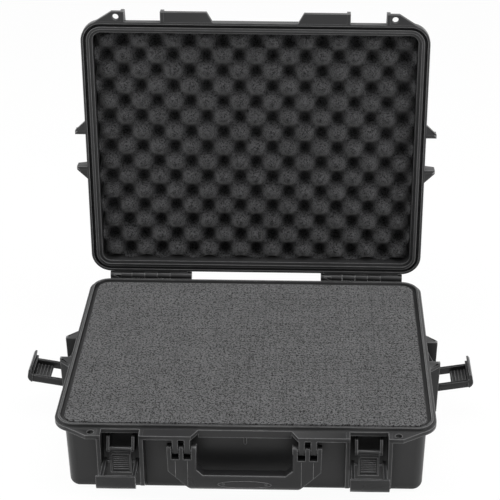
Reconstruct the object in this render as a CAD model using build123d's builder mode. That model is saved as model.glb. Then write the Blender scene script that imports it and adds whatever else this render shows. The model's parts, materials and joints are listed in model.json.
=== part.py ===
"""Hard-shell equipment case, open: tub, hinged lid, toggle latches, carry handle and foam inserts.

Millimetres, +Z up, +X to the right, +Y towards the hinges.  The origin is on the table, under the
centre of the tub.  The tub and the lid meet on the parting plane at z = base_height.  What the lid
carries is drawn shut and swung open by on_lid.  Latches are drawn on a local frame: x along the
rim, y up from the parting plane, z outwards from the rim edge.
"""
from build123d import *
import math
import os

os.makedirs("parts", exist_ok=True)

# ---- shells -------------------------------------------------------------------------------
case_width = 430.0
case_depth = 341.0
base_height = 91.0         # table to the parting plane
lid_height = 48.0
wall = 3.5
overhang = 10.7            # rim edge to the outer face of the wall
rim_height = 9.8
tub_rim_height = 5.0       # the tub's rim is thinner, but for the stretch behind the handle
mouth_inset = 10.5         # the opening inside the rim, from the rim edge
mouth_depth = 2.2          # parting plane to where the opening narrows to the walls
corner_radius = 25.0       # rim corners seen from above
draft = 1.5                # wall taper, degrees
outer_bottom_radius = 10.0
inner_bottom_radius = 6.0
gap = 0.3                  # clearance between pieces that don't fit into each other
fit = 0.05                 # radial clearance of a pin in its bore
rib_step = 1.6             # bands on the lid that drop into channels under another case
rib_width = 52.0
rib_x = 96.0
rib_end = 40.0             # from the end of a band to the rim edge
rib_corner = 8.0
channel_clearance = 1.0

# ---- seal ---------------------------------------------------------------------------------
tongue_inset = 3.6
tongue_width = 2.5
tongue_height = 3.5
groove_clearance = 0.6
groove_depth = 4.9
seal_thickness = 1.1
seal_clearance = 0.1

# ---- brim plates and posts on the shells ----------------------------------------------------
plate_reach = 13.0
plate_thickness = 5.0
post_width = 4.6
post_length = 68.5         # straight part of a post on the tub
post_end = 85.0            # where it has faded into the wall
lid_post_length = 12.0
lid_post_end = 20.0
plate_inner_x = 52.0       # where the plate ends beside the handle, at the rim
plate_inner_slope = 7.5
plate_corner_end = 39.0    # from the side of the rim to where the plate starts to slope back
eye_end = 44.0             # from the side of the rim
eye_out = 6.2
eye_radius = 3.8
gusset_run = 12.7          # sloped end of a side bracket, along the rim
centre_rib_width = 2.4
centre_rib_depth = 7.0

# ---- hinges -------------------------------------------------------------------------------
hinge_out = 7.2            # axis behind the rim's back edge
hinge_rise = 3.5           # axis above the parting plane
hinge_end = 76.7           # middle of a hinge to the side of the rim
knuckle_lengths = (22.8, 17.0, 16.4, 17.0, 22.8)
knuckle_radius = 4.8
hinge_flare = 5.5          # sloped end beside the outer knuckles
hinge_pin_radius = 1.6
open_angle = 91.7

# ---- latches ------------------------------------------------------------------------------
latch_end = 76.5           # middle of a front latch to the side of the rim
latch_gap = 42.6           # between the tub's posts
catch_gap = 44.0           # between the lid's posts
catch_height = 7.7         # the ledge that the hook pulls on
lever_axis_out = 5.0
lever_axis_down = 23.5
lever_width = 24.0
lever_barrel = 3.4
lever_front = 3.3          # front face of the lever, outwards from its axis
lever_back = 3.7
lever_reach = 30.5         # from its axis to the finger tip
lever_edge = 1.5           # bevel of the finger tip
lever_thin_out = 2.5       # slope behind the finger tip
lever_thin_up = 5.0
lever_recess = 1.3
lever_face_gap = 1.5       # from the barrel to the recess
lever_face_corner = 1.0
lever_frame = 2.4
lever_rib_pitch = 2.6
lever_rib_width = 1.2
lever_rib_height = 0.7
ear_width = 3.2
ear_radius = 3.4
ear_rise = 14.0            # from the lever's axis to the top of the ears
ear_fall = 8.5             # from the lever's axis down to where the ears meet the wall
latch_pin_radius = 1.6
bail_axis_out = 4.0
bail_axis_down = 40.5
bail_arm_width = 3.9
bail_arm_height = 8.7
bail_reach = 48.0          # from its axis to the face of the hook
bail_hook_thickness = 3.7
bail_hook_width = 43.2
bail_hook_rise = 14.0      # from the line of the arms to the tip of the hook
bail_hook_bevel = 3.0
bail_step = 2.6            # inner step below the hook
bail_step_rise = 7.2
bail_heel_radius = 8.0
bail_window = 25.0         # from its axis to the web
bail_web_thickness = 2.8
bail_rib_pitch = 4.0
bail_rib_width = 1.4
bail_rib_height = 0.9
thumb_notch_radius = 15.0
thumb_notch_depth = 3.0
front_bail_angle = 1.5     # how far each open bail stands above the horizontal
side_bail_angle = 10.0

# ---- handle -------------------------------------------------------------------------------
handle_axis_out = 8.0
handle_axis_down = 21.2
handle_opening = 106.8
handle_arm_width = 32.9
handle_thickness = 15.0
handle_drop = 72.3         # parting plane to the bottom of the grip
grip_height = 20.8
handle_bevel_x = 27.9
handle_bevel_z = 27.3
handle_taper = 0.8
handle_corner = 4.0
handle_inner_bevel = 7.5
handle_ear_x = (63.5, 76.9)
handle_ear_width = 6.7
handle_ear_radius = 5.0
handle_slot_clearance = 0.9
handle_slot_depth = 3.0    # beyond the rounded end of the ear
handle_pin_radius = 2.0
handle_pin_end = 1.5       # plastic left over the outer end of the pin

# ---- foam ---------------------------------------------------------------------------------
foam_rise = 2.0            # the cubed foam stands over the parting plane
foam_pad_height = 12.0
lid_foam_inset = 17.0      # from the rim edge
lid_foam_setback = 8.0     # parting plane to its peaks
egg_pitch_x = 41.3         # egg-crate pits, in two sets that stand between each other
egg_pitch_y = 40.2
egg_shift = 2.0            # towards the lid's front edge
egg_pit_width = 18.0
egg_pit_depth = 20.0
egg_pit_floor = 3.4

# ---- derived ------------------------------------------------------------------------------
wall_slope = math.tan(math.radians(draft))
cavity_inset = overhang + wall
post_root = overhang + wall / 2
half_width = case_width / 2
half_depth = case_depth / 2
hinge_x = half_width - hinge_end
hinge_y = half_depth + hinge_out
hinge_z = base_height + hinge_rise
hinge_length = sum(knuckle_lengths)
hinge_strip = hinge_out - knuckle_radius - gap
latch_x = half_width - latch_end
plate_corner_x = half_width - plate_corner_end
eye_x = half_width - eye_end
rib_length = case_depth - 2 * rib_end
ear_offset = lever_width / 2 + gap + ear_width / 2
arm_offset = ear_offset + ear_width / 2 + gap + bail_arm_width / 2
handle_half = handle_opening / 2 + handle_arm_width
egg_margin = (egg_pit_width - egg_pit_floor) / 2
egg_columns = 2 * round((half_width - lid_foam_inset) / egg_pitch_x)
egg_rows = 2 * round((half_depth - lid_foam_inset) / egg_pitch_y)
foam_layer = (base_height + foam_rise - wall - foam_pad_height - 3 * gap) / 2

lid_pose = (
    Location((0, hinge_y, hinge_z))
    * Location((0, 0, 0), (-open_angle, 0, 0))
    * Location((0, -hinge_y, -hinge_z))
)


def as_drawn(plane):
    """What the tub carries stays on the plane it is drawn on."""
    return plane


def on_lid(plane):
    """The same plane after the lid has swung open."""
    return Plane(lid_pose * plane.location)


def level(height):
    """Horizontal plane at this height over the parting plane."""
    return Plane.XY.offset(base_height + height)


def downward(height):
    """The same plane facing down, so that a draft narrows towards the table."""
    return Plane(origin=(0, 0, base_height + height), x_dir=(1, 0, 0), z_dir=(0, 0, -1))


def outline(*points, mode=Mode.ADD):
    """Face inside straight lines through these points, on the current sketch."""
    return Polygon(*points, align=None, mode=mode)


def rim_outline(inset, mode=Mode.ADD):
    """Rounded rectangle that follows the rim, this far in from its edge."""
    width = case_width - 2 * inset
    depth = case_depth - 2 * inset
    return RectangleRounded(width, depth, corner_radius - inset, mode=mode)


def rim_site(x, y, outward):
    """Local frame on the rim edge: x along it, y up, z outwards."""
    out = Vector(*outward)
    return Plane(origin=(x, y, base_height), x_dir=out.rotate(Axis.Z, 90), z_dir=out)


latch_sites = {
    "front_left": rim_site(-latch_x, -half_depth, (0, -1, 0)),
    "front_right": rim_site(latch_x, -half_depth, (0, -1, 0)),
    "side_left": rim_site(-half_width, 0, (-1, 0, 0)),
    "side_right": rim_site(half_width, 0, (1, 0, 0)),
}
bail_angles = {
    "front_left": front_bail_angle,
    "front_right": front_bail_angle,
    "side_left": side_bail_angle,
    "side_right": side_bail_angle,
}
handle_site = rim_site(0, -half_depth, (0, -1, 0))


def across(site, offset=0.0):
    """Section plane across the rim: x outwards, y up, this far along the rim from the site."""
    return Plane(origin=site.origin + site.x_dir * offset, x_dir=site.z_dir, z_dir=-site.x_dir)


def brim_plates(gap_width):
    """Plates in front of the rim, from beside the handle to the rim corners, less the latch gaps."""
    corner = corner_radius * math.sqrt(0.5)
    turn_x = half_width - corner_radius + corner
    turn_y = corner_radius - half_depth - corner
    front = -half_depth - plate_reach
    root = overhang - half_depth
    for way in (-1, 1):
        outline(
            (way * plate_inner_x, root),
            (way * plate_inner_x, -half_depth),
            (way * (plate_inner_x + plate_inner_slope), front),
            (way * plate_corner_x, front),
            (way * turn_x, turn_y),
            (way * (turn_x - overhang), turn_y + overhang),
        )
    for way in (-1, 1):
        with Locations((way * latch_x, front)):
            Rectangle(gap_width, 2 * plate_reach, mode=Mode.SUBTRACT)
        with Locations((way * eye_x, -half_depth - eye_out)):
            Circle(eye_radius, mode=Mode.SUBTRACT)


def side_gussets(gap_width):
    """Brackets at the side latches: a plate with a sloped end beyond each post."""
    inner = gap_width / 2
    outer = inner + post_width
    root = half_width - overhang
    for side in (-1, 1):
        for way in (-1, 1):
            outline(
                (side * root, way * inner),
                (side * (half_width + plate_reach), way * inner),
                (side * (half_width + plate_reach), way * outer),
                (side * half_width, way * (outer + gusset_run)),
                (side * root, way * (outer + gusset_run)),
            )


def add_posts(place, up, gap_width, straight, end):
    """Posts beside each latch, from the brim plate along the wall until they fade into it."""
    for site in latch_sites.values():
        for way in (-1, 1):
            section = across(site, way * (gap_width + post_width) / 2)
            with BuildSketch(place(section)) as post:
                outline(
                    (-post_root, 0),
                    (plate_reach, 0),
                    (plate_reach - straight * wall_slope, up * straight),
                    (-overhang - end * wall_slope, up * end),
                    (-post_root - end * wall_slope, up * end),
                )
            extrude(post.sketch, amount=post_width / 2, both=True)


def knuckle_section(place, x, up):
    """Section of a hinge knuckle and of the arm that carries it, drawn back from the rim."""
    plane = Plane(origin=(x, half_depth, base_height), x_dir=(0, 1, 0), z_dir=(1, 0, 0))
    with BuildSketch(place(plane)) as section:
        outline(
            (-overhang, up * gap),
            (hinge_strip, up * gap),
            (hinge_out, hinge_rise),
            (hinge_out, hinge_rise + up * knuckle_radius),
            (0, up * rim_height),
            (-overhang, up * rim_height),
        )
        with Locations((hinge_out, hinge_rise)):
            Circle(knuckle_radius)
    return section.sketch


def add_knuckles(place, up, first):
    """Every other hinge knuckle from this one on."""
    for side in (-1, 1):
        edge = side * hinge_x - hinge_length / 2
        for number, length in enumerate(knuckle_lengths):
            if number % 2 == first:
                knuckle = knuckle_section(place, edge + length / 2, up)
                extrude(knuckle, amount=(length - gap) / 2, both=True)
            edge += length


def add_hinge_ends():
    """Sloped ends on the tub's outer knuckles: flush at the top and wide at the bottom."""
    top = hinge_rise + knuckle_radius
    for side in (-1, 1):
        for way in (-1, 1):
            end = side * hinge_x + way * (hinge_length - gap) / 2
            extrude(knuckle_section(as_drawn, end, -1), amount=way * hinge_flare)
            behind = Plane(origin=(end, hinge_y + knuckle_radius, base_height), z_dir=(0, -1, 0))
            with BuildSketch(behind) as slope:
                outline(
                    (0, top),
                    (way * hinge_flare, top),
                    (way * hinge_flare, top - 2 * knuckle_radius),
                )
            extrude(slope.sketch, amount=hinge_out + knuckle_radius, mode=Mode.SUBTRACT)


def add_hinge_strips():
    """Strips along the lid that close the gap over the open knuckles."""
    for side in (-1, 1):
        plane = Plane(origin=(side * hinge_x, half_depth, base_height), x_dir=(0, 1, 0), z_dir=(1, 0, 0))
        with BuildSketch(on_lid(plane)) as strip:
            outline(
                (-overhang, gap),
                (hinge_strip, gap),
                (hinge_strip, rim_height),
                (-overhang, rim_height),
            )
        extrude(strip.sketch, amount=hinge_length / 2, both=True)


def cut_hinge_bores(place):
    """Bores for both hinge pins, through every knuckle."""
    for side in (-1, 1):
        middle = Plane(origin=(side * hinge_x, hinge_y, hinge_z), x_dir=(0, 1, 0), z_dir=(1, 0, 0))
        with BuildSketch(place(middle)) as bore:
            Circle(hinge_pin_radius + fit)
        extrude(bore.sketch, amount=hinge_length, both=True, mode=Mode.SUBTRACT)


# ---- tub ----------------------------------------------------------------------------------
with BuildPart() as base_shell:
    with BuildSketch(downward(0)):
        rim_outline(overhang)
    extrude(amount=base_height, taper=draft)
    fillet(base_shell.faces().sort_by(Axis.Z)[0].edges(), radius=outer_bottom_radius)
    with BuildSketch(downward(0)):
        rim_outline(0)
    extrude(amount=tub_rim_height)
    # deeper rim behind the handle
    with BuildSketch(across(handle_site)):
        outline((-post_root, -gap), (0, -gap), (0, -rim_height), (-post_root, -rim_height))
    extrude(amount=plate_inner_x, both=True)
    with BuildSketch(level(-gap / 2)):
        brim_plates(latch_gap)
        side_gussets(latch_gap)
    extrude(amount=-plate_thickness)
    add_posts(as_drawn, -1, latch_gap, post_length, post_end)
    # ears that carry the latch levers
    for site in latch_sites.values():
        for way in (-1, 1):
            with BuildSketch(across(site, way * ear_offset)):
                outline(
                    (-post_root, ear_rise - lever_axis_down),
                    (lever_axis_out - ear_radius, ear_rise - lever_axis_down),
                    (lever_axis_out + ear_radius, -lever_axis_down),
                    (lever_axis_out, -lever_axis_down - ear_radius),
                    (-post_root, -lever_axis_down - ear_fall),
                )
                with Locations((lever_axis_out, -lever_axis_down)):
                    Circle(ear_radius)
                    Circle(latch_pin_radius + fit, mode=Mode.SUBTRACT)
            extrude(amount=ear_width / 2, both=True)
    # ears that hang from the brim plates and carry the handle
    for way in (-1, 1):
        for x in handle_ear_x:
            with BuildSketch(across(handle_site, way * x)):
                outline(
                    (-post_root, -gap),
                    (plate_reach, -gap),
                    (handle_axis_out + handle_ear_radius, -handle_axis_down),
                    (handle_axis_out, -handle_axis_down - handle_ear_radius),
                    (-post_root, -handle_axis_down - handle_ear_radius),
                )
                with Locations((handle_axis_out, -handle_axis_down)):
                    Circle(handle_ear_radius)
                    Circle(handle_pin_radius + fit, mode=Mode.SUBTRACT)
            extrude(amount=handle_ear_width / 2, both=True)
    # short rib under the rim, in the middle of the front
    with BuildSketch(across(handle_site)):
        outline(
            (-post_root, -rim_height / 2),
            (-gap, -rim_height / 2),
            (-gap, -rim_height),
            (-overhang, -rim_height - centre_rib_depth),
            (-post_root, -rim_height - centre_rib_depth),
        )
    extrude(amount=centre_rib_width / 2, both=True)
    add_knuckles(as_drawn, -1, 0)
    add_hinge_ends()
    cut_hinge_bores(as_drawn)
    # sealing tongue
    with BuildSketch(level(0)):
        rim_outline(tongue_inset)
        rim_outline(tongue_inset + tongue_width, mode=Mode.SUBTRACT)
    extrude(amount=tongue_height)
    # channels that the bands of another lid drop into
    with BuildSketch(Plane.XY):
        with Locations((-rib_x, 0), (rib_x, 0)):
            RectangleRounded(rib_width + channel_clearance, rib_length + channel_clearance, rib_corner)
    extrude(amount=rib_step, mode=Mode.SUBTRACT)
    # the mouth, and the narrower cavity below it
    with BuildSketch(downward(0)):
        rim_outline(mouth_inset)
    extrude(amount=mouth_depth, mode=Mode.SUBTRACT)
    with BuildSketch(downward(-mouth_depth)):
        rim_outline(cavity_inset + mouth_depth * wall_slope)
    extrude(amount=base_height - wall - mouth_depth, taper=draft, mode=Mode.SUBTRACT)
    cavity_floor = base_shell.faces().filter_by(Axis.Z).filter_by_position(Axis.Z, wall - gap, wall + gap)
    fillet(cavity_floor.edges(), radius=inner_bottom_radius)
base_shell.part.label = "base_shell"
export_step(base_shell.part, "parts/base_shell.step")

# ---- lid ----------------------------------------------------------------------------------
lid_plane = on_lid(level(0))
with BuildPart() as lid_shell:
    with BuildSketch(lid_plane):
        rim_outline(overhang)
    extrude(amount=lid_height, taper=draft)
    lid_outward = Axis(lid_plane.origin, lid_plane.z_dir)
    fillet(lid_shell.faces().sort_by(lid_outward)[-1].edges(), radius=outer_bottom_radius)
    with BuildSketch(lid_plane):
        rim_outline(0)
    extrude(amount=rim_height)
    with BuildSketch(on_lid(level(gap / 2))):
        brim_plates(catch_gap)
        side_gussets(catch_gap)
    extrude(amount=plate_thickness)
    add_posts(on_lid, 1, catch_gap, lid_post_length, lid_post_end)
    add_knuckles(on_lid, 1, 1)
    add_hinge_strips()
    cut_hinge_bores(on_lid)
    # bands on the top
    with BuildSketch(on_lid(level(lid_height))):
        with Locations((-rib_x, 0), (rib_x, 0)):
            RectangleRounded(rib_width, rib_length, rib_corner)
    extrude(amount=rib_step)
    # the rim is lower where the hooks pull on it
    for site in latch_sites.values():
        with BuildSketch(on_lid(site.offset(-overhang))):
            with Locations((0, catch_height + rim_height / 2)):
                Rectangle(catch_gap, rim_height)
        extrude(amount=2 * overhang, mode=Mode.SUBTRACT)
    # the mouth, and the narrower cavity behind it
    with BuildSketch(lid_plane):
        rim_outline(mouth_inset)
    extrude(amount=mouth_depth, mode=Mode.SUBTRACT)
    with BuildSketch(on_lid(level(mouth_depth))):
        rim_outline(cavity_inset + mouth_depth * wall_slope)
    extrude(amount=lid_height - wall - mouth_depth, taper=draft, mode=Mode.SUBTRACT)
    # groove for the seal and the tongue
    with BuildSketch(lid_plane):
        rim_outline(tongue_inset - groove_clearance)
        rim_outline(tongue_inset + tongue_width + groove_clearance, mode=Mode.SUBTRACT)
    extrude(amount=groove_depth, mode=Mode.SUBTRACT)
lid_shell.part.label = "lid_shell"
export_step(lid_shell.part, "parts/lid_shell.step")

with BuildPart() as lid_seal:
    with BuildSketch(on_lid(level(groove_depth - seal_thickness))):
        rim_outline(tongue_inset - groove_clearance + seal_clearance)
        rim_outline(tongue_inset + tongue_width + groove_clearance - seal_clearance, mode=Mode.SUBTRACT)
    extrude(amount=seal_thickness)
lid_seal.part.label = "lid_seal"
export_step(lid_seal.part, "parts/lid_seal.step")

# ---- foam ---------------------------------------------------------------------------------
with BuildPart() as lid_foam:
    with BuildSketch(on_lid(level(lid_foam_setback))):
        rim_outline(lid_foam_inset)
    extrude(amount=lid_height - wall - gap - lid_foam_setback)
    # pits of the egg-crate surface: each a wedge that narrows alike on its four sides
    with Locations(on_lid(level(lid_foam_setback))):
        with Locations((0, -egg_shift)):
            for columns, rows in ((egg_columns, egg_rows + 1), (egg_columns - 1, egg_rows)):
                with GridLocations(egg_pitch_x, egg_pitch_y, columns, rows):
                    Wedge(
                        egg_pit_width,
                        egg_pit_depth,
                        egg_pit_width,
                        egg_margin,
                        egg_margin,
                        egg_pit_width - egg_margin,
                        egg_pit_width - egg_margin,
                        rotation=(90, 0, 0),
                        align=(Align.CENTER, Align.MIN, Align.CENTER),
                        mode=Mode.SUBTRACT,
                    )
lid_foam.part.label = "lid_foam"
export_step(lid_foam.part, "parts/lid_foam.step")

foam_tops = {
    "foam_upper_layer": foam_rise,
    "foam_lower_layer": foam_rise - foam_layer - gap,
    "foam_pad": foam_rise - 2 * (foam_layer + gap),
}
for name, top in foam_tops.items():
    thickness = foam_pad_height if name == "foam_pad" else foam_layer
    with BuildPart() as foam:
        with BuildSketch(downward(top)):
            rim_outline(cavity_inset + gap - top * wall_slope)
        extrude(amount=thickness, taper=draft)
        if name == "foam_upper_layer":
            with BuildSketch(downward(top)):
                rim_outline(mouth_inset + gap)
            extrude(amount=top + mouth_depth - gap)
        if name == "foam_pad":
            fillet(foam.faces().sort_by(Axis.Z)[0].edges(), radius=inner_bottom_radius + gap)
    foam.part.label = name
    export_step(foam.part, f"parts/{name}.step")

# ---- hinge pins ---------------------------------------------------------------------------
for name, side in (("hinge_pin_left", -1), ("hinge_pin_right", 1)):
    with BuildPart() as hinge_pin:
        with BuildSketch(Plane(origin=(side * hinge_x, hinge_y, hinge_z), z_dir=(1, 0, 0))):
            Circle(hinge_pin_radius)
        extrude(amount=hinge_length / 2 - gap, both=True)
    hinge_pin.part.label = name
    export_step(hinge_pin.part, f"parts/{name}.step")

# ---- carry handle ---------------------------------------------------------------------------
# drawn from the pivot axis: x along the rim, y up, z outwards
handle_plane = Plane(
    origin=(0, -half_depth - handle_axis_out, base_height - handle_axis_down),
    x_dir=(1, 0, 0),
    z_dir=(0, -1, 0),
)
handle_barrel = handle_thickness / 2
handle_bottom = handle_axis_down - handle_drop
grip_top = handle_bottom + grip_height
opening_half = handle_opening / 2
slot_bottom = handle_ear_radius + handle_slot_depth
with BuildPart() as carry_handle:
    with BuildSketch(handle_plane) as handle_outline:
        outline(
            (-handle_half, handle_barrel),
            (handle_half, handle_barrel),
            (handle_half - handle_taper, handle_bottom + handle_bevel_z),
            (handle_half - handle_bevel_x, handle_bottom),
            (handle_bevel_x - handle_half, handle_bottom),
            (handle_taper - handle_half, handle_bottom + handle_bevel_z),
        )
        fillet(handle_outline.vertices().group_by(Axis.Y)[0], radius=handle_corner)
        outline(
            (-opening_half, handle_thickness),
            (-opening_half, grip_top + handle_inner_bevel),
            (handle_inner_bevel - opening_half, grip_top),
            (opening_half - handle_inner_bevel, grip_top),
            (opening_half, grip_top + handle_inner_bevel),
            (opening_half, handle_thickness),
            mode=Mode.SUBTRACT,
        )
    extrude(amount=handle_barrel, both=True)
    # rounded over the pivots and along the grip
    with BuildSketch(across(handle_plane)):
        with Locations((0, (handle_bottom + handle_barrel) / 2)):
            SlotCenterToCenter(-handle_bottom - handle_barrel, handle_thickness, rotation=90)
    extrude(amount=handle_half, both=True, mode=Mode.INTERSECT)
    # slots for the ears, and the pivot bores
    with BuildSketch(handle_plane.offset(-handle_thickness)):
        for way in (-1, 1):
            for x in handle_ear_x:
                with Locations((way * x, (handle_thickness - slot_bottom) / 2)):
                    Rectangle(handle_ear_width + 2 * handle_slot_clearance, handle_thickness + slot_bottom)
    extrude(amount=2 * handle_thickness, mode=Mode.SUBTRACT)
    with BuildSketch(across(handle_plane)):
        Circle(handle_pin_radius + fit)
    extrude(amount=handle_half - handle_pin_end, both=True, mode=Mode.SUBTRACT)
carry_handle.part.label = "carry_handle"
export_step(carry_handle.part, "parts/carry_handle.step")

for name, way in (("handle_pin_left", -1), ("handle_pin_right", 1)):
    with BuildPart() as handle_pin:
        middle = way * (opening_half + (handle_arm_width - handle_pin_end) / 2)
        with BuildSketch(across(handle_plane, middle)):
            Circle(handle_pin_radius)
        extrude(amount=(handle_arm_width - handle_pin_end) / 2 - gap, both=True)
    handle_pin.part.label = name
    export_step(handle_pin.part, f"parts/{name}.step")

# ---- latches ------------------------------------------------------------------------------
lever_axis = (lever_axis_out, -lever_axis_down)
bail_axis = (bail_axis_out, -bail_axis_down)
lever_front_face = lever_axis_out + lever_front
lever_back_face = lever_axis_out - lever_back
lever_tip = -lever_axis_down - lever_reach
face_top = -lever_axis_down - lever_barrel - lever_face_gap
face_height = face_top - lever_tip - lever_frame
half_arm = bail_arm_height / 2
bail_end = bail_reach + bail_hook_thickness
bail_step_reach = bail_reach - bail_step

for name, site in latch_sites.items():
    with BuildPart() as lever_pin:
        with BuildSketch(across(site)):
            with Locations(lever_axis):
                Circle(latch_pin_radius)
        extrude(amount=ear_offset + ear_width / 2, both=True)
    lever_pin.part.label = f"lever_pin_{name}"
    export_step(lever_pin.part, f"parts/lever_pin_{name}.step")

    with BuildPart() as lever:
        with BuildSketch(across(site)):
            outline(
                (lever_back_face, -lever_axis_down),
                (lever_front_face, -lever_axis_down - lever_barrel / 2),
                (lever_front_face, lever_tip + lever_edge),
                (lever_front_face - lever_edge, lever_tip),
                (lever_back_face + lever_thin_out, lever_tip),
                (lever_back_face, lever_tip + lever_thin_up),
            )
            with Locations(lever_axis):
                Circle(lever_barrel)
        extrude(amount=lever_width / 2, both=True)
        # recessed face with grip ribs, inside a raised frame
        with BuildSketch(site.offset(lever_front_face - lever_recess)):
            with Locations((0, face_top - face_height / 2)):
                RectangleRounded(lever_width - 2 * lever_frame, face_height, lever_face_corner)
        extrude(amount=2 * lever_recess, mode=Mode.SUBTRACT)
        with BuildSketch(site.offset(lever_front_face - lever_recess)):
            with Locations((0, face_top - face_height / 2)):
                with GridLocations(0, lever_rib_pitch, 1, int(face_height / lever_rib_pitch) - 1):
                    Rectangle(lever_width - 3 * lever_frame, lever_rib_width)
        extrude(amount=lever_rib_height)
        with BuildSketch(across(site)):
            with Locations(lever_axis, bail_axis):
                Circle(latch_pin_radius + fit)
        extrude(amount=lever_width, both=True, mode=Mode.SUBTRACT)
    lever.part.label = f"latch_lever_{name}"
    export_step(lever.part, f"parts/latch_lever_{name}.step")

    with BuildPart() as bail_pin:
        with BuildSketch(across(site)):
            with Locations(bail_axis):
                Circle(latch_pin_radius)
        extrude(amount=arm_offset + bail_arm_width / 2 - fit, both=True)
    bail_pin.part.label = f"bail_pin_{name}"
    export_step(bail_pin.part, f"parts/bail_pin_{name}.step")

    # on its section plane the bail lies along x, and y is the side that faces the case when shut
    lift = math.radians(bail_angles[name])
    along = site.z_dir * math.cos(lift) + site.y_dir * math.sin(lift)
    heart = site.origin + site.z_dir * bail_axis_out - site.y_dir * bail_axis_down
    section = Plane(origin=heart, x_dir=along, z_dir=-site.x_dir)
    flat = Plane(origin=heart, x_dir=along, z_dir=section.y_dir)
    with BuildPart() as bail:
        for way in (-1, 1):
            with BuildSketch(section.offset(way * arm_offset)):
                with Locations((bail_end / 2, 0)):
                    Rectangle(bail_end, bail_arm_height)
                Circle(half_arm)
            extrude(amount=bail_arm_width / 2, both=True)
        # web between the arms, with grip ribs across it
        with BuildSketch(section):
            with Locations((bail_window, -half_arm)):
                Rectangle(bail_end - bail_window, bail_web_thickness, align=(Align.MIN, Align.MIN))
        extrude(amount=arm_offset, both=True)
        rib_span = bail_step_reach - bail_window
        with BuildSketch(flat.offset(bail_web_thickness - half_arm)):
            with Locations((bail_window + rib_span / 2, 0)):
                with GridLocations(bail_rib_pitch, 0, int(rib_span / bail_rib_pitch), 1):
                    Rectangle(bail_rib_width, 2 * arm_offset)
        extrude(amount=bail_rib_height)
        # hook that pulls on the lid's rim, with a step under it
        with BuildSketch(section):
            outline(
                (bail_step_reach, -half_arm),
                (bail_step_reach, bail_step_rise),
                (bail_reach, bail_step_rise),
                (bail_reach, bail_hook_rise),
                (bail_end - bail_hook_bevel / 2, bail_hook_rise),
                (bail_end, bail_hook_rise - bail_hook_bevel),
                (bail_end, -half_arm),
            )
        extrude(amount=bail_hook_width / 2, both=True)
        # rounded heel along the outer edge
        with BuildSketch(section):
            with Locations((bail_end - bail_heel_radius, bail_heel_radius - half_arm)):
                block = bail_heel_radius + gap
                Rectangle(block, block, align=(Align.MIN, Align.MAX))
                Circle(bail_heel_radius, mode=Mode.SUBTRACT)
        extrude(amount=bail_hook_width, both=True, mode=Mode.SUBTRACT)
        # notch for the thumb
        with BuildSketch(flat.offset(-half_arm)):
            with Locations((bail_end + thumb_notch_radius - thumb_notch_depth, 0)):
                Circle(thumb_notch_radius)
        extrude(amount=half_arm, mode=Mode.SUBTRACT)
        with BuildSketch(section):
            Circle(latch_pin_radius + fit)
        extrude(amount=bail_hook_width, both=True, mode=Mode.SUBTRACT)
    bail.part.label = f"latch_bail_{name}"
    export_step(bail.part, f"parts/latch_bail_{name}.step")
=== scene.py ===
"""Looks of the open equipment case: moulded shells, latches, handle, and the two kinds of foam."""
import json
import math

import bmesh
import bpy
from mathutils import Matrix, Vector
from mathutils.bvhtree import BVHTree


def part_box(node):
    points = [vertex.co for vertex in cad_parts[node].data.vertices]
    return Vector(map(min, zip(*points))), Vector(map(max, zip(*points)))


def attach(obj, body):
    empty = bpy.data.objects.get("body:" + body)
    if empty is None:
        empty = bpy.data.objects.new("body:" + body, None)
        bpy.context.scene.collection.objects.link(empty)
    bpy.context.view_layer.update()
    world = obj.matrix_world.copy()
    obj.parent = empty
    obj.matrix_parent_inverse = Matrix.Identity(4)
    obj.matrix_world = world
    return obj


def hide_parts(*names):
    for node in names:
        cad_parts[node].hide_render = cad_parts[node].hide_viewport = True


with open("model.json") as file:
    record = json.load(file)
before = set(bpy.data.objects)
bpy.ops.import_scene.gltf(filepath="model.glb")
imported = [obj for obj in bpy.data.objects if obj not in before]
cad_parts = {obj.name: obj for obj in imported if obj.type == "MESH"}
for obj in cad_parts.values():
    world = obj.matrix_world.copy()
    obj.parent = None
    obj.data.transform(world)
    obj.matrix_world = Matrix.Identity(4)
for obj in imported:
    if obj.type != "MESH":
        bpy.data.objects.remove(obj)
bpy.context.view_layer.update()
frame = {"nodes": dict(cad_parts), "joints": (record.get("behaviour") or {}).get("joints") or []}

MM = 0.001
LATCHES = ("front_left", "front_right", "side_left", "side_right")

FLAT_ANGLE = math.radians(0.5)    # facets that turn less than this are merged
SHARP_ANGLE = math.radians(32)    # edges that turn more than this are broken
SAME_POINT = 0.002 * MM           # points nearer than this are one
CUBE = 15.0 * MM                  # pitch of the cut foam cubes
CUBE_DEPTH = 6.0 * MM             # how deep the cuts are modelled
SOFT_MIDDLE = 0.3                 # inset of a softened edge's middle, as a share of its width


# ---- node helpers ---------------------------------------------------------------------------

def new_group(kind, name, inputs, outputs):
    """Empty node group; inputs as (name, type, default or None). Returns (tree, source, target)."""
    tree = bpy.data.node_groups.new(name, kind)
    for label, socket_type, default in inputs:
        socket = tree.interface.new_socket(label, in_out="INPUT", socket_type=socket_type)
        if default is not None:
            socket.default_value = default
    for label, socket_type in outputs:
        tree.interface.new_socket(label, in_out="OUTPUT", socket_type=socket_type)
    source = tree.nodes.new("NodeGroupInput").outputs
    target = tree.nodes.new("NodeGroupOutput").inputs
    return tree, source, target


def feed(tree, value, socket):
    """Links an output to a socket, or sets a plain number or colour on it."""
    if isinstance(value, bpy.types.NodeSocket):
        tree.links.new(value, socket)
    else:
        socket.default_value = value


def set_inputs(node, values):
    """Sets a node's sockets by name."""
    for name, value in values.items():
        node.inputs[name].default_value = value


def math_node(tree, operation, first, second=0.0, clamp=False):
    """Math node fed by sockets or numbers; returns its output."""
    node = tree.nodes.new("ShaderNodeMath")
    node.operation = operation
    node.use_clamp = clamp
    feed(tree, first, node.inputs[0])
    feed(tree, second, node.inputs[1])
    return node.outputs[0]


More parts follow.
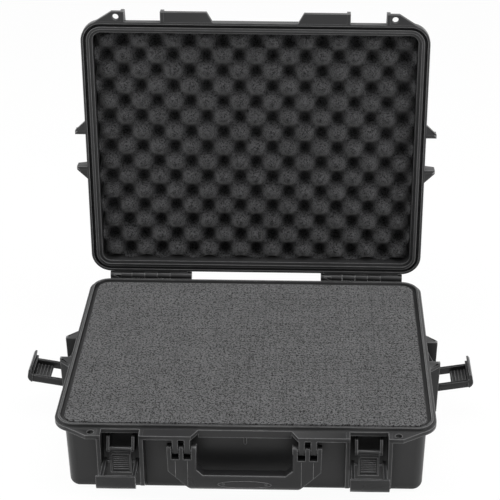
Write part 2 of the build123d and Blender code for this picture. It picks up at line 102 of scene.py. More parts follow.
def scaled(tree, vector, factor):
    """Vector or colour times a number; returns the output."""
    node = tree.nodes.new("ShaderNodeVectorMath")
    node.operation = "SCALE"
    tree.links.new(vector, node.inputs[0])
    tree.links.new(factor, node.inputs["Scale"])
    return node.outputs[0]


def noise_node(tree, vector, scale, detail, roughness):
    """Noise on a vector socket; returns its value output."""
    node = tree.nodes.new("ShaderNodeTexNoise")
    set_inputs(node, {"Scale": scale, "Detail": detail, "Roughness": roughness})
    tree.links.new(vector, node.inputs["Vector"])
    return node.outputs["Fac"]


def ramp(tree, value, from_ends, to_ends):
    """Value mapped from one pair of ends to the other and held there; returns the output."""
    node = tree.nodes.new("ShaderNodeMapRange")
    node.inputs["From Min"].default_value, node.inputs["From Max"].default_value = from_ends
    node.inputs["To Min"].default_value, node.inputs["To Max"].default_value = to_ends
    tree.links.new(value, node.inputs["Value"])
    return node.outputs[0]


def mix_colour(tree, factor, first, second):
    """Mix of two colour sockets; returns the colour output."""
    node = tree.nodes.new("ShaderNodeMix")
    node.data_type = "RGBA"
    # the Mix node has a set of sockets for each data type: these are the colour mix's
    tree.links.new(factor, node.inputs[0])
    tree.links.new(first, node.inputs[6])
    tree.links.new(second, node.inputs[7])
    return node.outputs[2]


def closeness(tree, reach, inside):
    """1 on open faces, falling near other faces: near outer edges if inside, else in crevices."""
    node = tree.nodes.new("ShaderNodeAmbientOcclusion")
    node.samples = 8
    node.inside = inside
    node.only_local = inside
    tree.links.new(reach, node.inputs["Distance"])
    return node.outputs["AO"]


# ---- shader groups --------------------------------------------------------------------------

def build_grain_and_painted_light():
    """Spark-eroded moulding texture: fine grain, slow gloss changes, outer edges painted paler and
    glossier as a highlight, crevices painted darker as shade and made duller.
    """
    tree, source, target = new_group(
        "ShaderNodeTree",
        "grain and painted light",
        inputs=(
            ("Colour", "NodeSocketColor", (0.03, 0.03, 0.03, 1)),
            ("Edge Highlight Colour", "NodeSocketColor", (0.08, 0.08, 0.08, 1)),
            ("Roughness", "NodeSocketFloat", 0.5),
            ("Grain Scale", "NodeSocketFloat", 1800.0),
            ("Edge Highlight Strength", "NodeSocketFloat", 0.8),
            ("Edge Width", "NodeSocketFloat", 1.2 * MM),
            ("Painted Shade Reach", "NodeSocketFloat", 22.0 * MM),
        ),
        outputs=(
            ("Colour", "NodeSocketColor"),
            ("Roughness", "NodeSocketFloat"),
            ("Height", "NodeSocketFloat"),
        ),
    )
    place = tree.nodes.new("ShaderNodeTexCoord").outputs["Object"]
    grain_place = scaled(tree, place, source["Grain Scale"])
    grain = noise_node(tree, grain_place, scale=1.0, detail=3.0, roughness=0.6)
    cloud = noise_node(tree, place, scale=14.0, detail=3.0, roughness=0.55)
    highlight_breakup = noise_node(tree, place, scale=90.0, detail=4.0, roughness=0.7)

    # painted highlight: outer edges are painted paler, unevenly
    edge = closeness(tree, source["Edge Width"], inside=True)
    edge = ramp(tree, edge, (0.95, 0.6), (0.0, 1.0))
    edge = math_node(tree, "MULTIPLY", edge, ramp(tree, highlight_breakup, (0.35, 0.65), (0.6, 1.0)))
    edge = math_node(tree, "MULTIPLY", edge, source["Edge Highlight Strength"], clamp=True)
    tone = mix_colour(tree, edge, source["Colour"], source["Edge Highlight Colour"])

    # the grain and slow patches vary the tone, and painted shade darkens it in crevices
    # painted shade: the colour falls to 12% where other faces are near
    painted_crevice_shade = closeness(tree, source["Painted Shade Reach"], inside=False)
    painted_crevice_shade = ramp(tree, painted_crevice_shade, (0.25, 0.85), (0.12, 1.0))
    patches = ramp(tree, cloud, (0.3, 0.7), (0.93, 1.07))
    shade = ramp(tree, grain, (0.3, 0.7), (0.88, 1.12))
    shade = math_node(tree, "MULTIPLY", shade, patches)
    shade = math_node(tree, "MULTIPLY", shade, painted_crevice_shade)
    tree.links.new(scaled(tree, tone, shade), target["Colour"])

    # patches drift in gloss, edges with the painted highlight are glossier, and crevices with the
    # painted shade are rougher
    drift = ramp(tree, cloud, (0.3, 0.7), (-0.05, 0.05))
    polish = math_node(tree, "MULTIPLY", edge, 0.1)
    dull = math_node(tree, "MULTIPLY", math_node(tree, "SUBTRACT", 1.0, painted_crevice_shade), 0.4)
    rough = math_node(tree, "ADD", source["Roughness"], drift)
    rough = math_node(tree, "SUBTRACT", rough, polish)
    rough = math_node(tree, "ADD", rough, dull, clamp=True)
    tree.links.new(rough, target["Roughness"])
    tree.links.new(grain, target["Height"])
    return tree


def build_foam_cells():
    """Open-cell polyurethane foam: pores in uneven clusters that darken and dent the surface."""
    tree, source, target = new_group(
        "ShaderNodeTree",
        "foam cells",
        inputs=(
            ("Colour", "NodeSocketColor", (0.1, 0.1, 0.1, 1)),
            ("Pore Colour", "NodeSocketColor", (0.02, 0.02, 0.02, 1)),
            ("Cell Scale", "NodeSocketFloat", 900.0),
        ),
        outputs=(("Colour", "NodeSocketColor"), ("Height", "NodeSocketFloat")),
    )
    place = tree.nodes.new("ShaderNodeTexCoord").outputs["Object"]
    cell_place = scaled(tree, place, source["Cell Scale"])
    pores = tree.nodes.new("ShaderNodeTexVoronoi")
    pores.feature = "F1"
    pores.inputs["Scale"].default_value = 1.0
    tree.links.new(cell_place, pores.inputs["Vector"])
    clusters = noise_node(tree, cell_place, scale=0.55, detail=2.0, roughness=0.7)
    patches = noise_node(tree, place, scale=30.0, detail=2.0, roughness=0.5)

    hole = ramp(tree, pores.outputs["Distance"], (0.22, 0.52), (0.0, 1.0))
    hole = math_node(tree, "MULTIPLY", hole, ramp(tree, clusters, (0.42, 0.56), (0.0, 1.0)))
    tone = mix_colour(tree, hole, source["Colour"], source["Pore Colour"])
    shade = ramp(tree, patches, (0.3, 0.7), (0.92, 1.08))
    tree.links.new(scaled(tree, tone, shade), target["Colour"])
    tree.links.new(math_node(tree, "SUBTRACT", 1.0, hole), target["Height"])
    return tree


# ---- materials ------------------------------------------------------------------------------

def new_material(name):
    """Material with a bare Principled BSDF; returns (material, tree, shader)."""
    material = bpy.data.materials.new(name)
    material.use_nodes = True
    tree = material.node_tree
    return material, tree, tree.nodes["Principled BSDF"]


def add_group(tree, group_tree, values):
    """Shader group with its sockets set; returns its outputs."""
    group = tree.nodes.new("ShaderNodeGroup")
    group.node_tree = group_tree
    set_inputs(group, values)
    return group.outputs


def bump(tree, height, shader, strength, depth):
    """Bump node between a height and the shader's normal."""
    node = tree.nodes.new("ShaderNodeBump")
    set_inputs(node, {"Strength": strength, "Distance": depth})
    tree.links.new(height, node.inputs["Height"])
    tree.links.new(node.outputs[0], shader.inputs["Normal"])


def moulding_material(name, colour, edge_highlight_colour, roughness, grain_scale, grain_depth, edge_highlight_strength=0.8):
    """Black moulded plastic or rubber with an eroded grain, outer edges painted paler as a
    highlight, and crevices darkened with painted shade.
    """
    material, tree, shader = new_material(name)
    grain = add_group(tree, grain_and_painted_light, {
        "Colour": (*colour, 1),
        "Edge Highlight Colour": (*edge_highlight_colour, 1),
        "Roughness": roughness,
        "Grain Scale": grain_scale,
        "Edge Highlight Strength": edge_highlight_strength,
    })
    tree.links.new(grain["Colour"], shader.inputs["Base Color"])
    tree.links.new(grain["Roughness"], shader.inputs["Roughness"])
    bump(tree, grain["Height"], shader, strength=0.5, depth=grain_depth)
    set_inputs(shader, {"IOR": 1.49, "Specular IOR Level": 0.34})
    return material


def foam_material(name, colour, pore_colour, cell_scale, pore_depth):
    """Open-cell foam: dull, porous, slightly soft at grazing angles."""
    material, tree, shader = new_material(name)
    cells = add_group(tree, foam_cells, {
        "Colour": (*colour, 1),
        "Pore Colour": (*pore_colour, 1),
        "Cell Scale": cell_scale,
    })
    tree.links.new(cells["Colour"], shader.inputs["Base Color"])
    bump(tree, cells["Height"], shader, strength=0.6, depth=pore_depth)
    set_inputs(shader, {"Roughness": 0.95, "Specular IOR Level": 0.1, "Sheen Weight": 0.15})
    return material


def steel_material(name):
    """Blackened steel with fine streaks, for the pins."""
    material, tree, shader = new_material(name)
    place = tree.nodes.new("ShaderNodeTexCoord").outputs["Object"]
    streak = noise_node(tree, place, scale=700.0, detail=3.0, roughness=0.6)
    tree.links.new(ramp(tree, streak, (0.3, 0.7), (0.25, 0.4)), shader.inputs["Roughness"])
    set_inputs(shader, {"Base Color": (0.06, 0.06, 0.062, 1), "Metallic": 1.0})
    bump(tree, streak, shader, strength=0.2, depth=0.02 * MM)
    return material


grain_and_painted_light = build_grain_and_painted_light()
foam_cells = build_foam_cells()

# the edge highlight colours are painted highlights on the outer edges, and every moulding also gets
# painted shade in its crevices
shell_plastic = moulding_material(
    "shell plastic", colour=(0.017, 0.017, 0.0175), edge_highlight_colour=(0.2, 0.2, 0.202),
    roughness=0.33, grain_scale=1500.0, grain_depth=0.04 * MM,
)
latch_plastic = moulding_material(
    "latch plastic", colour=(0.015, 0.015, 0.0155), edge_highlight_colour=(0.17, 0.17, 0.172),
    roughness=0.3, grain_scale=2200.0, grain_depth=0.03 * MM,
)
handle_plastic = moulding_material(
    "handle plastic", colour=(0.012, 0.012, 0.0125), edge_highlight_colour=(0.2, 0.2, 0.202),
    roughness=0.3, grain_scale=1800.0, grain_depth=0.03 * MM,
)
seal_rubber = moulding_material(
    "seal rubber", colour=(0.05, 0.05, 0.052), edge_highlight_colour=(0.06, 0.06, 0.06),
    roughness=0.7, grain_scale=900.0, grain_depth=0.03 * MM, edge_highlight_strength=0.0,
)
pin_steel = steel_material("pin steel")
cubed_foam = foam_material(
    "cubed foam", colour=(0.108, 0.108, 0.11), pore_colour=(0.002, 0.002, 0.002),
    cell_scale=760.0, pore_depth=0.6 * MM,
)
egg_foam = foam_material(
    "egg-crate foam", colour=(0.052, 0.052, 0.054), pore_colour=(0.006, 0.006, 0.006),
    cell_scale=800.0, pore_depth=0.4 * MM,
)


# ---- pieces ---------------------------------------------------------------------------------

def mesh_from(name, work, material=None):
    """Mesh made from a bmesh, which is freed."""
    mesh = bpy.data.meshes.new(name)
    work.to_mesh(mesh)
    work.free()
    if material:
        mesh.materials.append(material)
    return mesh


def baked(source):
    """Plain mesh of an object as its modifiers or bevel leave it; the object itself goes."""
    bpy.context.scene.collection.objects.link(source)
    graph = bpy.context.evaluated_depsgraph_get()
    mesh = bpy.data.meshes.new_from_object(source.evaluated_get(graph))
    bpy.data.objects.remove(source)
    return mesh


def add_piece(name, mesh, body, replaced=()):
    """Object made from a mesh in the shared frame; rides on a body and may replace CAD nodes."""
    mesh.name = name
    piece = bpy.data.objects.new(name, mesh)
    bpy.context.scene.collection.objects.link(piece)
    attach(piece, body)
    if replaced:
        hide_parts(*replaced)
    return piece


def add_moulding(node, name, body, material, edge_width, segments=2, finish=None):
    """Moulding made from the CAD node: merged, cleaned, and with every sharp edge broken."""
    mesh = frame["nodes"][node].data.copy()
    work = bmesh.new()
    work.from_mesh(mesh)
    bmesh.ops.remove_doubles(work, verts=work.verts, dist=SAME_POINT)
    bmesh.ops.dissolve_limit(
        work, angle_limit=FLAT_ANGLE, verts=work.verts, edges=work.edges, delimit={"NORMAL"}
    )
    if finish:
        finish(work)
    work.to_mesh(mesh)
    work.free()
    mesh.materials.clear()
    mesh.materials.append(material)
    mesh.shade_smooth()
    piece = add_piece(name, mesh, body, [node])
    bevel = piece.modifiers.new("broken edges", "BEVEL")
    bevel.width = edge_width
    bevel.segments = segments
    bevel.limit_method = "ANGLE"
    bevel.angle_limit = SHARP_ANGLE
    bevel.harden_normals = True
    bevel.use_clamp_overlap = True
    return piece


def round_hand_opening(work):
    """Rounds the rims of the handle's hand opening, front and back."""
    arms_from = 60 * MM        # above this height the handle is only its two arms
    inside_arms = 1 * MM
    rim_depth = 9 * MM         # the opening's rims lie this far below the grip's top at most
    near = 0.05 * MM
    radius = 3.2 * MM
    front = min(vert.co.y for vert in work.verts)
    back = max(vert.co.y for vert in work.verts)
    arm_inner = min(abs(vert.co.x) for vert in work.verts if vert.co.z > arms_from)
    grip_top = max(vert.co.z for vert in work.verts if abs(vert.co.x) < arm_inner - inside_arms)

    def on_rim(vert, side):
        on_face = abs(vert.co.y - side) < near
        return on_face and abs(vert.co.x) < arm_inner + near and vert.co.z > grip_top - rim_depth

    rims = [
        edge for edge in work.edges for side in (front, back)
        if all(on_rim(vert, side) for vert in edge.verts)
    ]
    bmesh.ops.bevel(work, geom=rims, offset=radius, segments=5, profile=0.5, affect="EDGES")


def add_mouldings():
    """Shells, seal, handle and latches."""
    for node, name, body in (("base_shell", "tub", "base"), ("lid_shell", "lid", "lid")):
        add_moulding(node, name, body, shell_plastic, edge_width=0.5 * MM)
    add_moulding(
        "lid_seal", "lid_seal_strip", "lid", seal_rubber, edge_width=0.3 * MM
    )
    add_moulding(
        "carry_handle", "handle", "handle", handle_plastic,
        edge_width=1.0 * MM, segments=3, finish=round_hand_opening,
    )
    for latch in LATCHES:
        for part, edge_width in (("lever", 0.3 * MM), ("bail", 0.4 * MM)):
            name = f"{part}_{latch}"
            add_moulding(
                f"latch_{name}", name, name, latch_plastic, edge_width
            )


def paint_pins():
    """Steel on the hinge, handle and latch pins, which stay as CAD nodes."""
    for name, node in frame["nodes"].items():
        if "_pin_" in name:
            for material_slot in node.material_slots:
                material_slot.material = pin_steel


# ---- fine lines and ledges ------------------------------------------------------------------

def front_of(node):
    """Function that gives the point of a CAD node's surface seen from the front at x, z in mm."""
    mesh = frame["nodes"][node].data
    surface = BVHTree.FromPolygons(
        [vertex.co for vertex in mesh.vertices], [polygon.vertices for polygon in mesh.polygons]
    )

    def point(x, z):
        a_metre_in_front = Vector((x * MM, -1.0, z * MM))
        return surface.ray_cast(a_metre_in_front, Vector((0, 1, 0)))[0]

    return point


def add_beads(name, paths, radius, body, material):
    """Fine raised lines: round beads along paths, each given as (points, closed)."""
    curve = bpy.data.curves.new(name, "CURVE")
    curve.dimensions = "3D"
    curve.bevel_depth = radius
    curve.bevel_resolution = 1
    curve.use_fill_caps = True
    for points, closed in paths:
        line = curve.splines.new("POLY")
        line.points.add(len(points) - 1)
        for target, point in zip(line.points, points):
            target.co = (*point, 1.0)
        line.use_cyclic_u = closed
    mesh = baked(bpy.data.objects.new(name, curve))
    mesh.materials.clear()
    mesh.materials.append(material)
    mesh.shade_smooth()
    add_piece(name, mesh, body)


def add_handle_lines():
    """Oval panel outline and gate marks on the grip, and parting lines under the ear slots."""
    point = front_of("carry_handle")

    def oval(x, z, half_width, half_height, count):
        turns = [2 * math.pi * k / count for k in range(count)]
        points = [
            point(x + half_width * math.cos(turn), z + half_height * math.sin(turn))
            for turn in turns
        ]
        return points, True

    paths = [oval(x=0.0, z=28.8, half_width=30.0, half_height=4.6, count=48)]
    for x in (-24.0, 24.0):
        paths.append(oval(x, z=29.2, half_width=1.3, half_height=1.3, count=8))
    parting_lines = ((63.5, 25.5), (76.9, 38.5))    # x, and z of the lower end
    top, steps = 60.0, 12
    for way in (-1, 1):
        for x, bottom in parting_lines:
            heights = [top - (top - bottom) * k / steps for k in range(steps + 1)]
            paths.append(([point(way * x, z) for z in heights], False))
    add_beads("handle_lines", paths, 0.3 * MM, "handle", handle_plastic)


def add_wall_rib():
    """Small hooped rib on the tub's front wall, above the grip."""
    point = front_of("base_shell")
    # x and z, down one side, round the bottom and up the other
    hoop = (
        (-1.6, 73.5), (-1.6, 67.0), (-1.1, 65.5), (0.0, 64.8), (1.1, 65.5), (1.6, 67.0), (1.6, 73.5)
    )
    path = [point(x, z) for x, z in hoop]
    add_beads("wall_rib", [(path, False)], 0.5 * MM, "base", shell_plastic)


def add_hinge_sills():
    """Ledges on the tub's back edge, in front of the hinge knuckles; sizes in mm."""
    hinge_centre, half_length = 138.3, 26.0
    back_edge, rear = 170.3, 174.4
    bottom, top = 86.4, 90.9
    size = Vector((2 * half_length, rear - back_edge, top - bottom))
    for side, way in (("left", -1), ("right", 1)):
        middle = ((rear + back_edge) / 2, (top + bottom) / 2)
        centre = Vector((way * hinge_centre, *middle)) * MM
        work = bmesh.new()
        bmesh.ops.create_cube(work, size=MM)
        bmesh.ops.scale(work, vec=size, verts=work.verts)
        bmesh.ops.translate(work, vec=centre, verts=work.verts)
        bmesh.ops.bevel(
            work, geom=work.edges[:], offset=0.2 * MM, segments=2, profile=0.5, affect="EDGES"
        )
        name = f"hinge_sill_{side}"
        add_piece(name, mesh_from(name, work, shell_plastic), "base")


# ---- foam -----------------------------------------------------------------------------------

def apply_tree(name, mesh, tree, values):
    """Runs a geometry tree on a mesh and gives the result as a plain mesh."""
    base = bpy.data.objects.new(name, mesh)
    modifier = base.modifiers.new(name, "NODES")
    modifier.node_group = tree
    for item in tree.interface.items_tree:
        if item.item_type == "SOCKET" and item.in_out == "INPUT" and item.name in values:
            modifier[item.identifier] = values[item.name]
    return baked(base)


def new_geometry_group(name, inputs):
    """Geometry tree that takes a geometry and named numbers, and gives a geometry."""
    return new_group(
        "GeometryNodeTree",
        name,
        inputs=(("Geometry", "NodeSocketGeometry", None), *inputs),
        outputs=(("Geometry", "NodeSocketGeometry"),),
    )


def paint_geometry(tree, geometry, material, target):
    """Gives a geometry its material and hands it to the tree's output."""
    paint = tree.nodes.new("GeometryNodeSetMaterial")
    paint.inputs["Material"].default_value = material
    tree.links.new(geometry, paint.inputs[0])
    tree.links.new(paint.outputs[0], target[0])


def move_along_z(tree, geometry, distance):
    """Moves each point of a geometry along Z; returns the geometry output."""
    offset = tree.nodes.new("ShaderNodeCombineXYZ")
    tree.links.new(distance, offset.inputs["Z"])
    move = tree.nodes.new("GeometryNodeSetPosition")
    tree.links.new(geometry, move.inputs["Geometry"])
    tree.links.new(offset.outputs[0], move.inputs["Offset"])
    return move.outputs[0]


def egg_crate_tree(material):
    """Sinks a block's top into two sets of rounded pits with peaks between them."""
    labels = ("Pitch Across", "Pitch Along", "Shift Along", "Pit Depth", "Sharpness")
    tree, source, target = new_geometry_group(
        "egg crate", [(label, "NodeSocketFloat", None) for label in labels]
    )
    split = tree.nodes.new("ShaderNodeSeparateXYZ")
    position = tree.nodes.new("GeometryNodeInputPosition").outputs[0]
    tree.links.new(position, split.inputs[0])

    def wave(distance, pitch):
        turns = math_node(tree, "DIVIDE", distance, pitch)
        return math_node(tree, "COSINE", math_node(tree, "MULTIPLY", turns, 2 * math.pi))

    shifted = math_node(tree, "SUBTRACT", split.outputs["Y"], source["Shift Along"])
    across = wave(split.outputs["X"], source["Pitch Across"])
    along = wave(shifted, source["Pitch Along"])
    # 0 on the peaks, 1 at the bottoms of the pits
    pit = math_node(tree, "SUBTRACT", 1.0, math_node(tree, "MULTIPLY", across, along))
    pit = math_node(tree, "MULTIPLY", pit, 0.5)
    pit = math_node(tree, "POWER", pit, source["Sharpness"])
    on_top = math_node(tree, "GREATER_THAN", split.outputs["Z"], -0.01 * MM)
    sink = math_node(tree, "MULTIPLY", pit, on_top)
    sink = math_node(tree, "MULTIPLY", sink, source["Pit Depth"])
    sunk = move_along_z(tree, source["Geometry"], math_node(tree, "MULTIPLY", sink, -1.0))
    paint_geometry(tree, sunk, material, target)
    return tree


def cube_field_tree(material):
    """Field of square foam cubes, cut apart, each a little off its neighbours' height."""
    inputs = [(label, "NodeSocketFloat", None) for label in ("Cube", "Height Spread")]
    inputs += [(label, "NodeSocketInt", None) for label in ("Columns", "Rows", "Seed")]
    tree, source, target = new_geometry_group("cube field", inputs)
    grid = tree.nodes.new("GeometryNodeMeshGrid")
    for side, count in (("X", "Columns"), ("Y", "Rows")):
        spans = math_node(tree, "SUBTRACT", source[count], 1.0)
        length = math_node(tree, "MULTIPLY", spans, source["Cube"])
        tree.links.new(length, grid.inputs[f"Size {side}"])
        tree.links.new(source[count], grid.inputs[f"Vertices {side}"])
    spread = tree.nodes.new("FunctionNodeRandomValue")
    spread.data_type = "FLOAT"
    # the Random Value node has sockets for each data type: 2, 3 and output 1 are the number's
    lowest = math_node(tree, "MULTIPLY", source["Height Spread"], -1.0)
    tree.links.new(lowest, spread.inputs[2])
    spread.inputs[3].default_value = 0.0
    tree.links.new(source["Seed"], spread.inputs["Seed"])
    points = move_along_z(tree, grid.outputs["Mesh"], spread.outputs[1])
    copies = tree.nodes.new("GeometryNodeInstanceOnPoints")
    tree.links.new(points, copies.inputs["Points"])
    tree.links.new(source["Geometry"], copies.inputs["Instance"])
    realize = tree.nodes.new("GeometryNodeRealizeInstances")
    tree.links.new(copies.outputs[0], realize.inputs[0])
    paint_geometry(tree, realize.outputs[0], material, target)
    return tree


def close_loops(work, loops):
    """Skins loops of points from the bottom one to the last and closes both ends."""
    count = len(loops[0])
    for lower, upper in zip(loops, loops[1:]):
        for k in range(count):
            after = (k + 1) % count
            work.faces.new((lower[k], lower[after], upper[after], upper[k]))
    work.faces.new(loops[-1])
    work.faces.new(list(reversed(loops[0])))


def joined(*meshes):
    """The meshes as one bmesh."""
    work = bmesh.new()
    for mesh in meshes:
        work.from_mesh(mesh)
    return work


def rounded_half_width(y, half_width, half_depth, radius):
    """Half width of a rounded rectangle at this distance from its middle."""
    over = max(abs(y) - (half_depth - radius), 0.0)
    return half_width - radius + math.sqrt(max(radius * radius - over * over, 0.0))


def foam_block(size, radius, taper, spacing):
    """Closed block, rounded at its corners, with a fine grid on top: the top is at z = 0."""
    width, depth, height = size
    columns = int(width / spacing)
    rows = int(depth / spacing)
    work = bmesh.new()

    def ring_point(u, v, z):
        shrink = 1.0 + z / height * taper
        half_depth = depth / 2 * shrink
        y = v * half_depth
        x = u * rounded_half_width(y, width / 2 * shrink, half_depth, radius)
        return work.verts.new((x, y, z))

    top, bottom = (
        [
            [ring_point(2 * i / columns - 1, 2 * j / rows - 1, z) for i in range(columns + 1)]
            for j in range(rows + 1)
        ]
        for z in (0.0, -height)
    )
    for j in range(rows):
        for i in range(columns):
            work.faces.new((top[j][i], top[j][i + 1], top[j + 1][i + 1], top[j + 1][i]))
    border = [(0, i) for i in range(columns)] + [(j, columns) for j in range(rows)]
    border += [(rows, i) for i in range(columns, 0, -1)] + [(j, 0) for j in range(rows, 0, -1)]
    for (j0, i0), (j1, i1) in zip(border, border[1:] + border[:1]):
        work.faces.new((top[j0][i0], bottom[j0][i0], bottom[j1][i1], top[j1][i1]))
    # the bottom is one face, so its inner points go
    work.faces.new([bottom[j][i] for j, i in reversed(border)])
    inner = [vert for vert in work.verts if not vert.link_faces]
    bmesh.ops.delete(work, geom=inner, context="VERTS")
    return mesh_from("foam_block", work)


def foam_cube(side, height, softness):
    """One cube with softened top edges; the top is at z = 0."""
    work = bmesh.new()
    half = side / 2
    rings = (
        (half, -height),
        (half, -softness),
        (half - softness * SOFT_MIDDLE, -softness * SOFT_MIDDLE),
        (half - softness, 0.0),
    )
    corners = ((-1, -1), (1, -1), (1, 1), (-1, 1))
    loops = [
        [work.verts.new((x * reach, y * reach, z)) for x, y in corners] for reach, z in rings
    ]
    close_loops(work, loops)
    return mesh_from("foam_cube", work)


def foam_tray(size, foot, step_depth, radius, foot_radius, pocket, pocket_depth):
    """Layer with an uncut border round the cubes' pocket: widest at the top, which is at z = 0."""
    width, depth, height = size
    steps = 14
    soft = 0.8 * MM
    middle = soft * SOFT_MIDDLE
    pocket_radius = 0.05 * MM
    quarters = ((1, 1, 0), (-1, 1, 90), (-1, -1, 180), (1, -1, 270))
    work = bmesh.new()

    def rounded_ring(half_width, half_depth, corner, z):
        ring = []
        for way_x, way_y, start in quarters:
            for k in range(steps + 1):
                angle = math.radians(start + 90 * k / steps)
                x = way_x * (half_width - corner) + corner * math.cos(angle)
                y = way_y * (half_depth - corner) + corner * math.sin(angle)
                ring.append(work.verts.new((x, y, z)))
        return ring

    loops = [
        rounded_ring(foot[0] / 2, foot[1] / 2, foot_radius, -height),
        rounded_ring(foot[0] / 2, foot[1] / 2, foot_radius, -step_depth),
        rounded_ring(width / 2, depth / 2, radius, -step_depth),
        rounded_ring(width / 2, depth / 2, radius, -soft),
        rounded_ring(width / 2 - middle, depth / 2 - middle, radius, -middle),
        rounded_ring(width / 2 - soft, depth / 2 - soft, radius, 0),
        rounded_ring(pocket[0] / 2, pocket[1] / 2, pocket_radius, 0),
        rounded_ring(pocket[0] / 2, pocket[1] / 2, pocket_radius, -pocket_depth),
    ]
    close_loops(work, loops)
    return mesh_from("foam_tray", work, cubed_foam)


def add_egg_crate():
    """Egg-crate foam in the lid, drawn for the shut lid and opened with it."""
    widening = 4.8 * MM        # wider than its CAD block in all, and still clear of the lid
    proud = 3.5 * MM           # its peaks stand this far past the CAD block
    hinge = next(joint for joint in frame["joints"] if joint["child"] == "lid")
    pivot = Matrix.Translation(Vector(hinge["pos_m"]))
    open_angle = math.radians(-hinge["range_deg"][0])
    opened = pivot @ Matrix.Rotation(-open_angle, 4, "X") @ pivot.inverted()

    shut = opened.inverted()
    points = [shut @ vertex.co for vertex in frame["nodes"]["lid_foam"].data.vertices]
    low = Vector(map(min, zip(*points)))
    high = Vector(map(max, zip(*points)))
    size = (high.x - low.x + widening, high.y - low.y + widening, high.z - low.z)
    block = foam_block(size, radius=10.4 * MM, taper=0.025, spacing=1.9 * MM)
    mesh = apply_tree("egg_crate_foam", block, egg_crate_tree(egg_foam), {
        "Pitch Across": 41.3 * MM,
        "Pitch Along": 41.1 * MM,
        "Shift Along": 1.1 * MM,
        "Pit Depth": 24.0 * MM,
        "Sharpness": 1.2,
    })
    # the block's top faces down into the case when the lid is shut
    turned_over = Matrix.Rotation(math.pi, 4, "X")
    seat = Matrix.Translation(((low.x + high.x) / 2, (low.y + high.y) / 2, low.z - proud))
    mesh.transform(opened @ seat @ turned_over)
    mesh.shade_smooth()
    piece = add_piece("egg_crate_foam", mesh, "lid", ["lid_foam"])


def add_cubed_foam():
    """Upper foam layer of the tub: cubes cut apart, inside an uncut border."""
    border = 8 * MM            # least width of both sides' borders together
    cut = 0.1 * MM
    low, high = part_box("foam_upper_layer")
    layer = high - low
    foot_low, foot_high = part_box("foam_lower_layer")
    columns = int((layer.x - border) / CUBE)
    rows = int((layer.y - border) / CUBE)
    cube = foam_cube(CUBE - cut, CUBE_DEPTH, softness=0.25 * MM)
    cubes = apply_tree("foam_cubes", cube, cube_field_tree(cubed_foam), {
        "Cube": CUBE,
        "Height Spread": 0.15 * MM,
        "Columns": columns,
        "Rows": rows,
        "Seed": 7,
    })
    tray = foam_tray(
        layer, foot_high - foot_low, step_depth=3.9 * MM, radius=14.2 * MM,
        foot_radius=10.5 * MM, pocket=(columns * CUBE, rows * CUBE), pocket_depth=CUBE_DEPTH,
    )
    mesh = mesh_from("cubed_foam_upper", joined(tray, cubes), cubed_foam)
    mesh.transform(Matrix.Translation(((low.x + high.x) / 2, (low.y + high.y) / 2, high.z)))
    mesh.shade_flat()
    piece = add_piece("cubed_foam_upper", mesh, "base", ["foam_upper_layer"])


def add_plain_layer(node, name):
    """Hidden foam layer: a softened copy of the CAD solid."""
    piece = add_moulding(node, name, "base", cubed_foam, edge_width=0.8 * MM)


# ---- camera, floor and light ----------------------------------------------------------------

def add_camera():
    """Camera in front of the case, above it and looking down on it."""
    image_px = 500
    focal_px = 1504.348
    axis_px = (300.000, 200.000)    # where the line of sight meets the picture
    sensor_mm = 36.0
    place = (0.06785, -1.55915, 1.05649)
    tilt = math.radians(26.0648)
    roll = math.radians(0.5653)
    yaw = math.radians(0.3685)
    ahead = Vector((-math.sin(yaw), math.cos(yaw), 0))
    side = Vector((math.cos(yaw), math.sin(yaw), 0))
    forward = ahead * math.cos(tilt) - Vector((0, 0, math.sin(tilt)))
    up = ahead * math.sin(tilt) + Vector((0, 0, math.cos(tilt)))
    right = side * math.cos(roll) + up * math.sin(roll)
    top = up * math.cos(roll) - side * math.sin(roll)
    turn = Matrix((right, top, -forward)).transposed().to_4x4()
    data = bpy.data.cameras.new("camera")
    data.sensor_width = sensor_mm
    data.lens = sensor_mm * focal_px / image_px
    data.shift_x = 0.5 - axis_px[0] / image_px
    data.shift_y = axis_px[1] / image_px - 0.5
    camera = bpy.data.objects.new("camera", data)
    camera.matrix_world = Matrix.Translation(place) @ turn
    bpy.context.scene.collection.objects.link(camera)
    bpy.context.scene.camera = camera


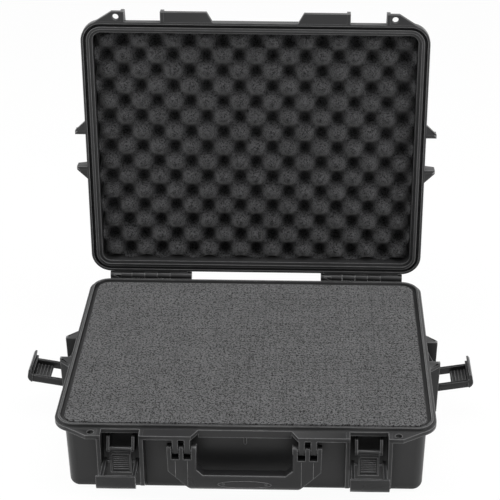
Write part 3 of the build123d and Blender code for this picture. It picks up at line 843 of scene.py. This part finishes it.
def add_floor():
    """White floor that keeps the case's shadow."""
    glow_share = 0.96          # how much of the seen floor glows rather than takes light
    material = bpy.data.materials.new("white sweep")
    material.use_nodes = True
    tree = material.node_tree
    tree.nodes.clear()
    out = tree.nodes.new("ShaderNodeOutputMaterial")
    mix = tree.nodes.new("ShaderNodeMixShader")
    diffuse = tree.nodes.new("ShaderNodeBsdfDiffuse")
    diffuse.inputs["Color"].default_value = (0.95, 0.95, 0.95, 1)
    glow = tree.nodes.new("ShaderNodeEmission")
    glow.inputs["Strength"].default_value = 1.0
    ray = tree.nodes.new("ShaderNodeLightPath").outputs
    seen = math_node(tree, "ADD", ray["Is Camera Ray"], ray["Is Glossy Ray"], clamp=True)
    tree.links.new(math_node(tree, "MULTIPLY", seen, glow_share), mix.inputs[0])
    tree.links.new(diffuse.outputs[0], mix.inputs[1])
    tree.links.new(glow.outputs[0], mix.inputs[2])
    tree.links.new(mix.outputs[0], out.inputs["Surface"])

    sweep = bmesh.new()
    bmesh.ops.create_grid(sweep, x_segments=1, y_segments=1, size=6.0)
    floor = bpy.data.objects.new("floor", mesh_from("floor", sweep, material))
    bpy.context.scene.collection.objects.link(floor)


def add_world():
    """Studio surround that is white where it is seen and gives only a little light."""
    world = bpy.data.worlds.new("studio")
    bpy.context.scene.world = world
    world.use_nodes = True
    tree = world.node_tree
    background = tree.nodes["Background"]
    background.inputs["Color"].default_value = (1, 1, 1, 1)
    ray = tree.nodes.new("ShaderNodeLightPath").outputs
    seen = math_node(tree, "ADD", ray["Is Camera Ray"], ray["Is Transmission Ray"])
    seen = math_node(tree, "ADD", seen, ray["Is Glossy Ray"], clamp=True)
    tree.links.new(ramp(tree, seen, (0.0, 1.0), (0.1, 1.0)), background.inputs["Strength"])


def add_lamp(name, place, target, size, power):
    """Soft rectangular lamp aimed at a point."""
    data = bpy.data.lights.new(name, "AREA")
    data.shape = "RECTANGLE"
    data.size, data.size_y = size
    data.energy = power
    lamp = bpy.data.objects.new(name, data)
    lamp.location = place
    lamp.rotation_euler = (Vector(target) - Vector(place)).to_track_quat("-Z", "Y").to_euler()
    bpy.context.scene.collection.objects.link(lamp)


# ---- the scene ------------------------------------------------------------------------------

add_mouldings()
add_handle_lines()
add_wall_rib()
add_hinge_sills()
paint_pins()
add_egg_crate()
add_cubed_foam()
add_plain_layer("foam_lower_layer", "cubed_foam_lower")
add_plain_layer("foam_pad", "bottom_pad")

add_camera()
add_floor()
add_world()
add_lamp("key lamp", place=(0.0, -0.3, 2.2), target=(0, 0, 0.15), size=(2.0, 1.2), power=40)
add_lamp("left lamp", place=(-2.0, -0.4, 1.0), target=(0, 0, 0.2), size=(0.9, 1.6), power=34)
add_lamp("right lamp", place=(2.0, -0.4, 1.0), target=(0, 0, 0.2), size=(0.9, 1.6), power=40)

bpy.context.scene.view_settings.view_transform = "Standard"
